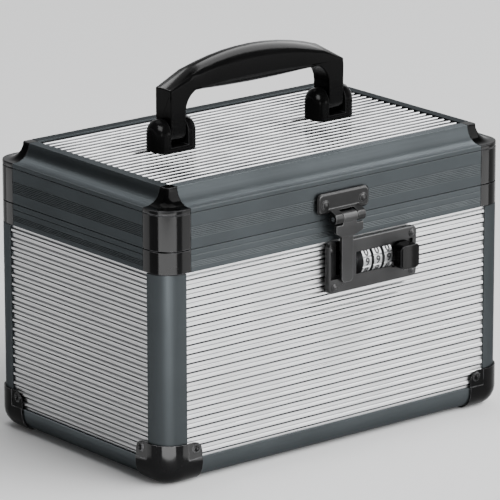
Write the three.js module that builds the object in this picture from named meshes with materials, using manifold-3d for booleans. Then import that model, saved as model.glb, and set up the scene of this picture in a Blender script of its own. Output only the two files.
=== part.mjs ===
// Medication lock box: a small aluminium case with a hinged lid, a folding bail handle,
// a hasp and a three-dial combination lock. Millimetres, +Z up, front towards -Y.
import * as THREE from "three";
import { mergeVertices } from "three/addons/utils/BufferGeometryUtils.js";
import Module from "manifold-3d";

const wasm = await Module();
wasm.setup();

// Driving dimensions: the case
const caseWidth = 220;
const caseDepth = 138.8;
const railHeight = 11.7;
const panelHeight = 94.8;
const rimHeight = 11.2;
const lidGap = 0.4;
const lidWallHeight = 20.4;
const coveRadius = 8.6;
const coveLedge = 2.1;
const frameWidth = 5.3;
const cornerRound = 12;
const railRound = 9;
const postReach = 13.8;
const castingReach = 16.5;
const skin = 1;
const board = 3;
const seat = 0.2;
const liner = 2;
const channelDepth = 2.8;

// Driving dimensions: the ribbed sheet
const beadPitch = 4.7;
const lowestBead = 2.65;
const beadWidth = 2.3;
const beadHeight = 0.85;

// Driving dimensions: the closure between rim and lid
const tongueInset = 3;
const tongueWidth = 1.5;
const tongueHeight = 1.8;
const tongueClearance = 0.3;

// Driving dimensions: the corner guards
const guardWall = 0.8;
const guardReach = 22.6;
const guardHeight = 20.4;
const guardTabRound = 5;
const guardTabSink = 0.35;
const rivetRadius = 2.5;
const rivetHeight = 1.1;
const rivetDome = 0.7;
const rivetFlange = 0.36;

// Driving dimensions: the handle. Heights are above the lid.
const gripSpan = 111.4;
const legWidth = 9.6;
const gripDepth = 12.4;
const gripTop = 46.2;
const crownRise = 7;
const crownTaper = 0.4;
const crownEnd = 0.08;
const bowDrop = 6.8;
const shoulderHeight = 31.3;
const shoulderRun = 13.3;
const palmHeight = 26.9;
const bellyDrop = 5.4;
const palmBow = 1.9;
const palmRound = 11.5;
const pivotHeight = 8.9;
const bracketLength = 24.6;
const bracketRadius = 7.3;
const bracketEdge = 4.6;
const legClearance = 0.6;
const handlePinRadius = 2;
const handlePinLength = 17.5;

// Driving dimensions: the hasp
const haspCentre = 0.8;
const strikeWidth = 33.2;
const strikeHeight = 10.7;
const strikeBottom = 3.1;
const strikeThickness = 2.2;
const strikeCorner = 2.6;
const strikeBevel = 1.1;
const foldHeight = 2.6;
const haspRivetRadius = 2.4;
const barrelRadius = 2.9;
const barrelStandoff = 5.2;
const barrelRise = 1.4;
const knuckleWidth = 9;
const barrelLength = 19.2;
const haspPinRadius = 1.1;
const leafWidth = 17.4;
const leafNarrow = 7.4;
const leafThickness = 1.7;
const leafShoulder = 6.9;
const leafTip = 23.4;
const eyeWidth = 2.6;
const eyeHeight = 5.2;

// Driving dimensions: the combination lock
const plateLeft = -9.8;
const plateWidth = 57.5;
const plateHeight = 26;
const plateFront = 3.4;
const plateCorner = 2.6;
const plateBevel = 0.5;
const plateRivetRadius = 2.1;
const pocketBorder = 1.3;
const pocketSill = 7.2;
const pocketFloor = 0.6;
const dialDrop = 12.6;
const dialRadius = 8;
const dialWidth = 5.2;
const dialNotch = 0.45;
const numerals = 10;
const dialPitch = 6.93;
const dialFirst = 13.9;
const dialProud = 1.9;
const dialGap = 0.3;
const dialSideGap = 3.2;
const spindleRadius = 2.2;
const housingWall = 1.2;
const combThickness = 0.4;
const boltHeight = 2;
const boltThickness = 2.25;
const stemThickness = 0.8;
const tongueThickness = 1.2;
const tongueTravel = 1.6;
const releaseTravel = 2.2;
const knobLeft = 30.2;
const knobWidth = 12.3;
const knobHeight = 12.2;
const knobFront = 12.4;
const knobHead = 6.8;
const knobCrown = 1;
const knobCorner = 2.6;
const knobNeckWidth = 5.6;
const knobNeckHeight = 7;
const recessDepth = 1.6;

// Driving dimensions: the rear hinges
const hingeInset = 46;
const hingeLength = 36;
const hingeKnuckle = 12;
const hingeBarrel = 2.4;
const hingePin = 1.2;
const hingeLeaf = 1.2;
const caseLeafHeight = 9.6;
const lidLeafHeight = 15;

// Fineness of the round forms
const roundSteps = 6;
const barrelSteps = 16;
const bowSteps = 10;

// Heights and insets that follow from the sizes above. An inset is measured inwards
// from the outer face of a wall.
const rimLow = railHeight + panelHeight;
const split = rimLow + rimHeight;
const lidLow = split + lidGap;
const shoulder = lidLow + lidWallHeight;
const lidTop = shoulder + coveRadius;
const coveInset = coveLedge + coveRadius;
const frameInset = coveInset + frameWidth;
const boardOuter = skin + seat;
const boardInner = boardOuter + board;
const legOuter = boardInner + seat;
const legInner = legOuter + skin;
const halfWidth = caseWidth / 2;
const halfDepth = caseDepth / 2;

const aluminium = new THREE.MeshStandardMaterial({ color: 0xd4d6d8, roughness: 0.32, metalness: 0.9 });
const slate = new THREE.MeshStandardMaterial({ color: 0x5d6468, roughness: 0.4, metalness: 0.7 });
const blackSteel = new THREE.MeshStandardMaterial({ color: 0x16171a, roughness: 0.22, metalness: 0.4 });
const darkZinc = new THREE.MeshStandardMaterial({ color: 0x4b4d50, roughness: 0.35, metalness: 0.8 });
const chrome = new THREE.MeshStandardMaterial({ color: 0xe2e3e5, roughness: 0.2, metalness: 1 });
const foam = new THREE.MeshStandardMaterial({ color: 0x2a2b2e, roughness: 0.95, metalness: 0 });
const fibreboard = new THREE.MeshStandardMaterial({ color: 0x2f2c29, roughness: 0.85, metalness: 0 });
const steel = new THREE.MeshStandardMaterial({ color: 0xb4b6b9, roughness: 0.3, metalness: 1 });

// Solids: a closed geometry as a manifold, and back again. Points are set on a fine grid,
// so that forms that meet share their edges exactly.
const gridPerMm = 512;

function solid(geometry) {
  geometry.deleteAttribute("normal");
  geometry.deleteAttribute("uv");
  const points = geometry.attributes.position.array;
  points.forEach((value, i) => (points[i] = Math.round(value * gridPerMm) / gridPerMm));
  const merged = mergeVertices(geometry, 1e-4);
  const vertProperties = new Float32Array(merged.attributes.position.array);
  const triVerts = new Uint32Array(merged.index.array);
  return new wasm.Manifold(new wasm.Mesh({ numProp: 3, vertProperties, triVerts }));
}

function join(...pieces) {
  return pieces.reduce((whole, piece) => whole.add(piece));
}

function cut(body, ...tools) {
  return tools.reduce((rest, tool) => rest.subtract(tool), body);
}

function geometryOf(body) {
  const { numProp, vertProperties, triVerts } = body.getMesh();
  const points = new Float32Array((vertProperties.length / numProp) * 3);
  for (let i = 0; i * numProp < vertProperties.length; i++) {
    points.set(vertProperties.subarray(i * numProp, i * numProp + 3), i * 3);
  }
  const geometry = new THREE.BufferGeometry();
  geometry.setAttribute("position", new THREE.BufferAttribute(points, 3));
  geometry.setIndex(new THREE.BufferAttribute(triVerts, 1));
  const faceted = geometry.toNonIndexed();
  faceted.computeVertexNormals();
  return faceted;
}

// Outlines are lists of [a, b] pairs, and an arc adds its own points to them
function arc(a, b, radius, from, to, steps = roundSteps) {
  return Array.from({ length: steps + 1 }, (_, i) => {
    const angle = THREE.MathUtils.degToRad(from + ((to - from) * i) / steps);
    return [a + radius * Math.cos(angle), b + radius * Math.sin(angle)];
  });
}

function outline(points, holes = []) {
  const shape = new THREE.Shape(points.map(([a, b]) => new THREE.Vector2(a, b)));
  shape.holes = holes.map((hole) => new THREE.Path(hole.map(([a, b]) => new THREE.Vector2(a, b))));
  return shape;
}

function rounded(a0, b0, a1, b1, radius, steps = 4) {
  return [
    ...arc(a1 - radius, b0 + radius, radius, -90, 0, steps),
    ...arc(a1 - radius, b1 - radius, radius, 0, 90, steps),
    ...arc(a0 + radius, b1 - radius, radius, 90, 180, steps),
    ...arc(a0 + radius, b0 + radius, radius, 180, 270, steps),
  ];
}

const axis = {
  x: new THREE.Vector3(1, 0, 0),
  y: new THREE.Vector3(0, 1, 0),
  z: new THREE.Vector3(0, 0, 1),
};

// Extrusions along each axis: an outline (y, z) along X, (x, z) along Y or (x, y) along Z
function extrude(shape, depth, bevel = 0, bevelSteps = 1) {
  const edge = { bevelThickness: bevel, bevelSize: bevel, bevelOffset: -bevel };
  return new THREE.ExtrudeGeometry(shape, {
    depth: depth - 2 * bevel,
    bevelEnabled: bevel > 0,
    bevelSegments: bevelSteps,
    ...edge,
  }).translate(0, 0, bevel);
}

function alongX(shape, x0, x1, ...bevel) {
  const turn = new THREE.Matrix4().makeBasis(axis.y, axis.z, axis.x);
  return solid(extrude(shape, x1 - x0, ...bevel).applyMatrix4(turn).translate(x0, 0, 0));
}

function alongY(shape, y0, y1, ...bevel) {
  const turn = new THREE.Matrix4().makeBasis(axis.x, axis.z, axis.y.clone().negate());
  return solid(extrude(shape, y1 - y0, ...bevel).applyMatrix4(turn).translate(0, y1, 0));
}

function alongZ(shape, z0, z1, ...bevel) {
  return solid(extrude(shape, z1 - z0, ...bevel).translate(0, 0, z0));
}

function box(x0, x1, y0, y1, z0, z1) {
  const geometry = new THREE.BoxGeometry(x1 - x0, y1 - y0, z1 - z0);
  return solid(geometry.translate((x0 + x1) / 2, (y0 + y1) / 2, (z0 + z1) / 2));
}

function rodX(radius, x0, x1, y, z, steps = barrelSteps) {
  const geometry = new THREE.CylinderGeometry(radius, radius, x1 - x0, steps);
  return solid(geometry.rotateZ(Math.PI / 2).translate((x0 + x1) / 2, y, z));
}

// A turned form about the vertical line at (x, y), from an outline (radius, z)
function turned(points, x, y, steps = 4 * roundSteps) {
  const profile = points.map(([r, z]) => new THREE.Vector2(Math.max(r, 0), z));
  if (THREE.ShapeUtils.isClockWise(profile)) profile.reverse();
  const next = (i) => profile[(i + 1) % profile.length];
  const onAxis = profile.findIndex((point, i) => point.x === 0 && next(i).x === 0);
  const open = [...profile.slice(onAxis + 1), ...profile.slice(0, onAxis + 1)];
  const line = onAxis < 0 ? [...profile, profile[0]] : open;
  return solid(new THREE.LatheGeometry(line, steps).rotateX(Math.PI / 2).translate(x, y, 0));
}

// A rivet head standing on a wall that faces -Y at depth y: a flat flange and a dome on it
function rivetHead(x, y, z, radius = rivetRadius, height = rivetHeight) {
  const root = 0.3;
  const domeRadius = radius * rivetDome;
  const flange = height * rivetFlange;
  const rise = height - flange;
  const dome = arc(0, 0, 1, 10, 80, 2).map(([a, b]) => [domeRadius * a, flange + rise * b]);
  const foot = [[0, -root], [radius, -root], [radius, flange * 0.6], [radius - flange * 0.4, flange]];
  const profile = [...foot, [domeRadius, flange], ...dome, [0, height]];
  const line = profile.map(([a, b]) => new THREE.Vector2(a, b));
  return solid(new THREE.LatheGeometry(line, 10).rotateX(Math.PI).translate(x, y, z));
}

// The object and its two main groups
const group = new THREE.Group();
const lockBox = new THREE.Group();
group.add(lockBox);

function place(name, body, material, frame = {}) {
  const { x = 0, y = 0, z = 0, turn = 0, flipX = false, flipY = false } = frame;
  const mesh = new THREE.Mesh(geometryOf(body), material);
  mesh.name = name;
  mesh.position.set(x, y, z);
  mesh.rotation.z = turn;
  mesh.scale.set(flipX ? -1 : 1, flipY ? -1 : 1, 1);
  lockBox.add(mesh);
}

// The four sides: a wall is made facing -Y, with its outer face at y = 0 and its middle at
// x = 0, and turned to its place
const sides = [
  { side: "front", span: caseWidth, y: -halfDepth, turn: 0 },
  { side: "right", span: caseDepth, x: halfWidth, turn: Math.PI / 2 },
  { side: "back", span: caseWidth, y: halfDepth, turn: Math.PI },
  { side: "left", span: caseDepth, x: -halfWidth, turn: -Math.PI / 2 },
];
const frontWall = { y: -halfDepth };
const backWall = { y: halfDepth };

// The four corners: each is made at front left, with the outer corner at x = 0, y = 0, and
// mirrored to its place
const corners = [
  { corner: "front_left", x: -halfWidth, y: -halfDepth },
  { corner: "front_right", x: halfWidth, y: -halfDepth, flipX: true },
  { corner: "back_right", x: halfWidth, y: halfDepth, flipX: true, flipY: true },
  { corner: "back_left", x: -halfWidth, y: halfDepth, flipY: true },
];

// An outline of (inset, z) run along a wall
function run(points, x0, x1, holes = []) {
  return alongX(outline(points, holes), x0, x1);
}

// The same outline turned through the quarter at the corner
function cornerTurn(points) {
  const quarter = box(-5, cornerRound, -5, cornerRound, -20, lidTop + 20);
  const profile = points.map(([inset, z]) => [cornerRound - inset, z]);
  return turned(profile, cornerRound, cornerRound).intersect(quarter);
}

// A body mirrored by a matrix, with its faces turned round again
function mirrored(body, matrix) {
  const { vertProperties, triVerts } = body.getMesh();
  const points = new THREE.BufferAttribute(new Float32Array(vertProperties), 3).applyMatrix4(matrix);
  const flipped = triVerts.map((_, i) => triVerts[i % 3 === 0 ? i : i % 3 === 1 ? i + 1 : i - 1]);
  return new wasm.Manifold(new wasm.Mesh({ numProp: 3, vertProperties: points.array, triVerts: flipped }));
}

// The mirrors that swap the two walls of a corner, and the left and right of the box
const acrossCorner = new THREE.Matrix4().makeBasis(axis.y, axis.x, axis.z);
const acrossMiddle = new THREE.Matrix4().makeScale(-1, 1, 1);

// Ribbed wall panels: a board faced with sheet whose raised beads show between the extrusions
function beadMiddles(first, room) {
  const count = Math.floor((room - beadWidth / 2) / beadPitch) + 1;
  return Array.from({ length: count }, (_, i) => first + i * beadPitch);
}

// The face of the sheet from low to high, as an outline of (inset, height)
function ribbedOutline(face, middles, low, high) {
  const crest = arc(0, 0, 1, 270, 90, 3);
  const crests = middles.flatMap((middle) =>
    crest.map(([p, q]) => [face + p * beadHeight, middle + (q * beadWidth) / 2]),
  );
  const back = face + board / 2;
  return [[back, low], [face, low], ...crests, [face, high], [back, high]];
}

const panelLow = railHeight - channelDepth - skin + seat;
const panelHigh = rimLow + channelDepth - seat;
function wallPanel(span) {
  const sheetHalf = span / 2 - postReach + channelDepth - seat;
  const ribHalf = span / 2 - postReach - seat;
  const sheet = box(-sheetHalf, sheetHalf, boardOuter, boardInner, panelLow, panelHigh);
  const middles = beadMiddles(railHeight + lowestBead, panelHeight - lowestBead);
  const ribs = ribbedOutline(boardOuter, middles, railHeight + seat, rimLow - seat);
  return join(sheet, run(ribs, -ribHalf, ribHalf));
}

// Lock layout, seen on the front wall: x to the right, t outwards from the wall's face
const plateBottom = rimLow - 0.5 - plateHeight;
const plateTop = plateBottom + plateHeight;
const plateRight = plateLeft + plateWidth;
const beadTop = beadHeight - boardOuter;
const plateBack = beadTop + seat;
const dialAxisHeight = plateTop - dialDrop;
const dialAxisOut = plateFront + dialProud - dialRadius;
const dialCentres = [0, 1, 2].map((i) => dialFirst + i * dialPitch);
const windowLeft = dialCentres[0] - dialWidth / 2 - dialSideGap;
const windowRight = dialCentres[2] + dialWidth / 2 + 1.4;
const housingLeft = windowLeft - housingWall - 0.3;
const housingRight = windowRight + housingWall + 0.3;
const housingLow = dialAxisHeight - dialRadius - 2 * dialGap - housingWall;
const housingHigh = dialAxisHeight + dialRadius + 2 * dialGap + housingWall;
const housingBack = dialAxisOut - dialRadius - 1 - housingWall;
const outward = (t) => -t;

function lockBlock(x0, x1, t0, t1, z0, z1) {
  return box(x0, x1, outward(t1), outward(t0), z0, z1);
}

// The hole that the housing passes through, in the front wall and in the lining
function lockMouth(t0) {
  const [low, high] = [housingLow - seat, housingHigh + seat];
  return lockBlock(housingLeft - seat, housingRight + seat, t0, 1, low, high);
}

for (const { side, span, ...frame } of sides) {
  const panel = wallPanel(span);
  place(side + "_panel", side === "front" ? cut(panel, lockMouth(-10)) : panel, aluminium, frame);
}

// Bottom edge rails: a hollow quarter-round foot, a channel for the wall and a flange for the floor
const legTop = railHeight + 2.5;
const flangeInset = postReach;
const railOutline = [
  [0, railHeight],
  ...arc(railRound, railRound, railRound, 180, 270),
  [flangeInset, 0],
  [flangeInset, skin],
  [legInner, skin],
  [legInner, legTop],
  [legOuter, legTop],
  [legOuter, railHeight - channelDepth - skin],
  [skin, railHeight - channelDepth - skin],
  [skin, railHeight],
];
const hollowTop = railHeight - channelDepth - 2 * skin;
const hollowRound = railRound - skin;
const hollowStart = 180 + THREE.MathUtils.radToDeg(Math.asin((railRound - hollowTop) / hollowRound));
const hollowEnd = 180 + THREE.MathUtils.radToDeg(Math.acos((railRound - legOuter) / hollowRound));
const hollowArc = arc(railRound, railRound, hollowRound, hollowStart, hollowEnd, 4);
const railHollow = [[legOuter, hollowTop], ...hollowArc];
for (const { side, span, ...frame } of sides) {
  const end = span / 2 - postReach - seat;
  place("bottom_rail_" + side, run(railOutline, -end, end, [railHollow]), slate, frame);
}

// Floor board, resting on the rail flanges
const floorTop = skin + seat + board;
const floorInset = legInner + seat;

// An outline round the whole box at an inset from its walls
function around(inset, radius) {
  const [x, y] = [halfWidth - inset, halfDepth - inset];
  return outline(rounded(-x, -y, x, y, radius));
}

place("bottom_panel", alongZ(around(floorInset, cornerRound - 2), skin + seat, floorTop), fibreboard);

// Corner posts: a round nose, two channels for the wall panels and a hollow core
function cornerOutline(reach) {
  const bend = postReach - channelDepth;
  const innerLeg = [[reach, legInner], [bend, legInner], [legInner, bend], [legInner, reach]];
  return [[reach, 0], ...innerLeg, [0, reach], ...arc(cornerRound, cornerRound, cornerRound, 180, 270)];
}

function panelChannels(z0, z1) {
  const stop = postReach - channelDepth;
  const past = 2 * castingReach;
  return [box(stop, past, skin, legOuter, z0, z1), box(skin, legOuter, stop, past, z0, z1)];
}

const postStop = postReach - channelDepth - skin;
const coreRound = cornerRound - skin;
const coreAngle = THREE.MathUtils.radToDeg(Math.acos((cornerRound - postStop) / coreRound));
const coreDiagonal = legInner + postReach - channelDepth - skin * Math.SQRT2;
const postCore = [
  [postStop, coreDiagonal - postStop],
  ...arc(cornerRound, cornerRound, coreRound, 180 + coreAngle, 270 - coreAngle, 6),
  [coreDiagonal - postStop, postStop],
];
const postTop = rimLow - seat;
for (const { corner, ...frame } of corners) {
  const core = alongZ(outline(cornerOutline(postReach), [postCore]), railRound, postTop);
  const post = cut(core, ...panelChannels(railRound - 1, postTop + 1));
  place("corner_post_" + corner, post, slate, frame);
}

// Rim extrusions and their corner blocks, with the tongue that the lid closes over
function grooves(heights, low, depth, width) {
  return heights.flatMap((z) => [[0, low + z], [depth, low + z + width / 2], [0, low + z + width]]);
}

const rimOutline = [
  [0, rimLow],
  ...grooves([2.6, 3.4, 4.2, 5, 8.2], rimLow, 0.3, 0.4),
  [0, split],
  [tongueInset, split],
  [tongueInset, split + tongueHeight],
  [tongueInset + tongueWidth, split + tongueHeight],
  [tongueInset + tongueWidth, split],
  [legInner, split],
  [legInner, rimLow - 2.5],
  [legOuter, rimLow - 2.5],
  [legOuter, rimLow + channelDepth],
  [skin, rimLow + channelDepth],
  [skin, rimLow],
];
const rimHollowLow = rimLow + channelDepth + skin;
const rimHollowHigh = split - skin;
const rimHollow = [
  [skin, rimHollowLow],
  [legOuter, rimHollowLow],
  [legOuter, rimHollowHigh],
  [skin, rimHollowHigh],
];
for (const { side, span, ...frame } of sides) {
  const end = span / 2 - castingReach - seat;
  place("rim_" + side, run(rimOutline, -end, end, [rimHollow]), slate, frame);
}
const tongueRound = cornerRound - tongueInset;
const tongueRing = [
  [castingReach, tongueInset],
  [castingReach, tongueInset + tongueWidth],
  ...arc(cornerRound, cornerRound, tongueRound - tongueWidth, 270, 180),
  [tongueInset + tongueWidth, castingReach],
  [tongueInset, castingReach],
  ...arc(cornerRound, cornerRound, tongueRound, 180, 270),
];
for (const { corner, ...frame } of corners) {
  const block = alongZ(outline(cornerOutline(castingReach)), rimLow, split);
  const channels = panelChannels(rimLow - 1, rimLow + channelDepth);
  const tongue = alongZ(outline(tongueRing), split - 1, split + tongueHeight);
  place("rim_corner_" + corner, join(cut(block, ...channels), tongue), blackSteel, frame);
}

// Corner guards: pressed steel shells round each bottom corner, with a stepped tab and a
// rivet on each wall. The box stands on them.
const guardIn = -seat;
const guardOut = -seat - guardWall;
const guardFoot = 13;
function guardOutline(foot) {
  return [
    [guardOut, guardHeight],
    ...arc(railRound, railRound, railRound - guardOut, 180, 270),
    [foot, guardOut],
    [foot, guardIn],
    ...arc(railRound, railRound, railRound - guardIn, 270, 180),
    [guardIn, guardHeight],
  ];
}

const tabOut = guardOut + guardTabSink;
const tabIn = tabOut + guardWall;
const tabLow = railHeight + seat;
const tabStart = postReach + seat;
const guardRivetX = (tabStart + guardReach) / 2 + 0.4;
const guardRivetZ = (tabLow + guardHeight) / 2 + 1;

function guardTab() {
  const shape = [
    [tabStart - 0.4, tabLow - 0.2],
    [guardReach, tabLow - 0.2],
    ...arc(guardReach - guardTabRound, guardHeight - guardTabRound, guardTabRound, 0, 90, 3),
    [tabStart - 0.4, guardHeight],
  ];
  const below = box(0, guardReach + 1, guardIn, tabIn + 1, 0, tabLow);
  const beside = box(0, tabStart, guardIn, tabIn + 1, 0, guardHeight + 1);
  return cut(alongY(outline(shape), tabOut, tabIn), below, beside);
}

function guardArm() {
  const arm = run(guardOutline(guardFoot), cornerRound, guardReach);
  const opening = box(tabStart, guardReach + 1, -3, tabIn, tabLow, guardHeight + 1);
  return join(cut(arm, opening), guardTab(), rivetHead(guardRivetX, tabOut, guardRivetZ));
}

for (const { corner, ...frame } of corners) {
  const arm = guardArm();
  const guard = join(cornerTurn(guardOutline(cornerRound)), arm, mirrored(arm, acrossCorner));
  place("corner_guard_" + corner, guard, blackSteel, frame);
}

// Case lining: a soft moulded tub, notched for the lock housing
const linerInset = legInner + seat;
const linerLow = floorTop + seat;
const linerHigh = split - seat;
const linerCorner = cornerRound + seat;

function tub(inset, low, high, floorLow, floorHigh) {
  const outside = alongZ(around(inset, linerCorner), low, high);
  return cut(outside, alongZ(around(inset + liner, linerCorner - liner), floorLow, floorHigh));
}

const notch = lockMouth(-30).translate([0, -halfDepth, 0]);
const caseTub = tub(linerInset, linerLow, linerHigh, linerLow + liner, linerHigh + 1);
place("case_lining", cut(caseTub, notch), foam);

// Lid extrusions: grooved wall with a lip, a cove and a flat frame that holds the ribbed top
const lidPanelTop = lidTop - boardOuter;
const lidChannelFloor = coveInset + skin + 1.2;
const lidLegInset = castingReach;
const lidLegLow = lidPanelTop - board - seat - skin;
const lip = 2.2;
const coveBack = coveRadius + skin;
const coveBackStart = -THREE.MathUtils.radToDeg(Math.acos((legInner - coveLedge) / coveBack));
const coveBackEnd = -THREE.MathUtils.radToDeg(Math.asin((lidTop - lidLegLow) / coveBack));
const grooveTop = lidLow + tongueHeight + 2 * tongueClearance;

function lidOutline(wallDetail) {
  return [
    [0, lidLow],
    ...wallDetail,
    [0.3, shoulder],
    ...arc(coveLedge, lidTop, coveRadius, -90, 0),
    [frameInset, lidTop],
    [frameInset, lidTop - skin],
    [lidChannelFloor, lidTop - skin],
    [lidChannelFloor, lidLegLow + skin],
    [lidLegInset, lidLegLow + skin],
    [lidLegInset, lidLegLow],
    ...arc(coveLedge, lidTop, coveBack, coveBackEnd, coveBackStart, 5),
    [legInner, lidLow],
    [tongueInset + tongueWidth + tongueClearance, lidLow],
    [tongueInset + tongueWidth + tongueClearance, grooveTop],
    [tongueInset - tongueClearance, grooveTop],
    [tongueInset - tongueClearance, lidLow],
  ];
}

const lidLip = [
  [0, shoulder - lip - 0.5],
  [0.4, shoulder - lip - 0.25],
  [0, shoulder - lip],
  [0, shoulder - 0.3],
];
const lidGrooves = grooves([5.4, 6.3, 7.2, 8.1, 9, 9.9, 10.8], lidLow, 0.3, 0.5);
const lidHollowLow = grooveTop + skin;
const lidHollowHigh = shoulder - skin;
const lidHollow = [
  [skin, lidHollowLow],
  [legOuter, lidHollowLow],
  [legOuter, lidHollowHigh],
  [skin, lidHollowHigh],
];
for (const { side, span, ...frame } of sides) {
  const end = span / 2 - castingReach - seat;
  const profile = lidOutline([...lidGrooves, ...lidLip]);
  place("lid_rail_" + side, run(profile, -end, end, [lidHollow]), slate, frame);
}

// Lid corner castings: the same outline swept round the corner, where the cove flares to a point
function lidCorner() {
  const profile = lidOutline(lidLip);
  const cove = profile.findIndex(([inset]) => inset === frameInset);
  const backRound = arc(coveLedge, lidTop, coveBack, coveBackEnd, coveBackStart, 5);
  const upper = [...profile.slice(0, cove), [cornerRound, lidTop], [cornerRound, lidLegLow]];
  const lower = [...backRound, ...profile.slice(profile.length - 5)];
  const arm = run(profile, cornerRound, castingReach);
  return join(cornerTurn([...upper, ...lower]), arm, mirrored(arm, acrossCorner));
}

for (const { corner, ...frame } of corners) {
  place("lid_corner_" + corner, lidCorner(), blackSteel, frame);
}

// Lid panel: ribbed sheet on board, slid into the frame
const topReachX = halfWidth - lidChannelFloor - seat;
const topReachY = halfDepth - lidChannelFloor - seat;
const topVisibleX = halfWidth - frameInset - seat;
const topVisibleY = halfDepth - frameInset - seat;
const topSheet = box(-topReachX, topReachX, -topReachY, topReachY, lidPanelTop - board, lidPanelTop);
const topHalf = beadMiddles(beadPitch / 2, topVisibleY - beadPitch / 2);
const topMiddles = [...topHalf.map((middle) => -middle).reverse(), ...topHalf];
const topFace = ribbedOutline(-lidPanelTop, topMiddles, -topVisibleY, topVisibleY);
const topRibs = outline(topFace.map(([depth, y]) => [y, -depth]));
place("lid_panel", join(topSheet, alongX(topRibs, -topVisibleX, topVisibleX)), aluminium);

// Lid lining: a shallow moulded cover
const coverInset = linerInset + 4.6;
const coverHigh = lidLegLow - seat;
place("lid_lining", tub(coverInset, lidLow + 0.6, coverHigh, lidLow - 1, coverHigh - liner), foam);

// Handle brackets: domed saddles with a slot for the leg and blind holes for the pin
const bracketLow = lidPanelTop + beadHeight + seat;
const pivotZ = lidTop + pivotHeight;
const slotFloor = pivotZ - gripDepth / 2 - seat;
const legCentre = gripSpan / 2 - legWidth / 2;
const halfSlot = legWidth / 2 + legClearance;

function bracket() {
  const low = bracketLow - 2 * bracketEdge;
  const dome = [[-bracketRadius, low], [bracketRadius, low], ...arc(0, pivotZ, bracketRadius, 0, 180, 10)];
  const reach = bracketLength / 2;
  const loaf = alongX(outline(dome), legCentre - reach, legCentre + reach, bracketEdge, 3);
  const below = box(legCentre - 20, legCentre + 20, -20, 20, low - 1, bracketLow);
  const slot = box(legCentre - halfSlot, legCentre + halfSlot, -20, 20, slotFloor, pivotZ + 20);
  const halfBore = handlePinLength / 2 + seat;
  const bore = rodX(handlePinRadius + seat, legCentre - halfBore, legCentre + halfBore, 0, pivotZ);
  return cut(loaf, below, slot, bore);
}

const halfPin = handlePinLength / 2;
for (const { name, flipX } of [{ name: "left", flipX: true }, { name: "right", flipX: false }]) {
  place("handle_bracket_" + name, bracket(), blackSteel, { flipX });
  const pin = rodX(handlePinRadius, legCentre - halfPin, legCentre + halfPin, 0, pivotZ);
  place("handle_pin_" + name, pin, steel, { flipX });
}

// Handle grip: two legs and a bowed grip with a crowned top and a rounded belly.
// Heights are measured from the pivot.
const halfSpan = gripSpan / 2;
const halfGrip = gripDepth / 2;
const innerSpan = halfSpan - legWidth;
const bowEnd = halfSpan - shoulderRun;
const bowRadius = (bowEnd * bowEnd + bowDrop * bowDrop) / (2 * bowDrop);
const bowTop = gripTop - pivotHeight;
const shoulderTop = shoulderHeight - pivotHeight;
const palmEdge = palmHeight + bellyDrop - pivotHeight;
const palmCorner = innerSpan - palmRound;

// The top line, the lower edge of the flat sides, and how far the crown and belly stand out
const { lerp } = THREE.MathUtils;

function topLine(x) {
  const past = Math.abs(x) - bowEnd;
  if (past > 0) return lerp(bowTop - bowDrop, shoulderTop, past / shoulderRun);
  return bowTop - bowRadius + Math.sqrt(bowRadius * bowRadius - x * x);
}

function crownAt(x) {
  const past = Math.abs(x) - bowEnd;
  if (past > 0) return crownRise * lerp(1 - crownTaper, crownEnd, past / shoulderRun);
  return crownRise * (1 - crownTaper * (x / bowEnd) ** 2);
}

const lowEdge = (x) => palmEdge - palmBow * (x / palmCorner) ** 2;
const bellyAt = (x) => bellyDrop * Math.max(0, 1 - (x / innerSpan) ** 2);

function gripSection(x) {
  const crown = arc(0, 0, 1, 0, 180, 8);
  const belly = arc(0, 0, 1, 180, 360, 8);
  return [
    ...crown.map(([p, q]) => [p * halfGrip, topLine(x) - (1 - q) * crownAt(x)]),
    ...belly.map(([p, q]) => [p * halfGrip, lowEdge(x) + q * bellyAt(x)]),
  ];
}

// A loft through sections of (y, z) at stations along X, capped at both ends
function loft(stations) {
  const size = stations[0].section.length;
  const last = (stations.length - 1) * size;
  const faces = [];
  for (let ring = 0; ring < last; ring += size) {
    for (let i = 0; i < size; i++) {
      const a = ring + i;
      const b = ring + ((i + 1) % size);
      faces.push(a, b, b + size, a, b + size, a + size);
    }
  }
  const cap = (section) => {
    const points = section.map(([y, z]) => new THREE.Vector2(y, z));
    return THREE.ShapeUtils.triangulateShape(points, []);
  };
  for (const [a, b, c] of cap(stations[0].section)) faces.push(a, c, b);
  for (const [a, b, c] of cap(stations.at(-1).section)) faces.push(last + a, last + b, last + c);
  const points = stations.flatMap(({ x, section }) => section.flatMap(([y, z]) => [x, y, z]));
  const geometry = new THREE.BufferGeometry();
  geometry.setAttribute("position", new THREE.Float32BufferAttribute(points, 3));
  geometry.setIndex(faces);
  return solid(geometry);
}

function handleGrip() {
  const inner = Array.from({ length: bowSteps + 1 }, (_, i) => bowEnd * ((2 * i) / bowSteps - 1));
  const stations = [-halfSpan, ...inner, halfSpan].map((x) => ({ x, section: gripSection(x) }));
  const legTop = shoulderTop - 2 * crownEnd * crownRise;
  const legShape = [[-halfGrip, legTop], ...arc(0, 0, halfGrip, 180, 360, 12), [halfGrip, legTop]];
  const leg = alongX(outline(legShape), innerSpan, halfSpan);
  const cornerZ = lowEdge(palmCorner) - palmRound;
  const fillet = [
    [innerSpan + 1, cornerZ + palmRound],
    [innerSpan + 1, cornerZ],
    ...arc(palmCorner, cornerZ, palmRound, 0, 90, 6),
    [palmCorner, cornerZ + palmRound + 1],
  ];
  const side = join(leg, alongY(outline(fillet), -halfGrip, halfGrip));
  const bore = rodX(handlePinRadius + seat, innerSpan - 1, halfSpan + 1, 0, 0);
  const whole = join(loft(stations), side, mirrored(side, acrossMiddle));
  return cut(whole, bore, mirrored(bore, acrossMiddle));
}

place("handle_grip", handleGrip(), blackSteel, { z: pivotZ });

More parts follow.
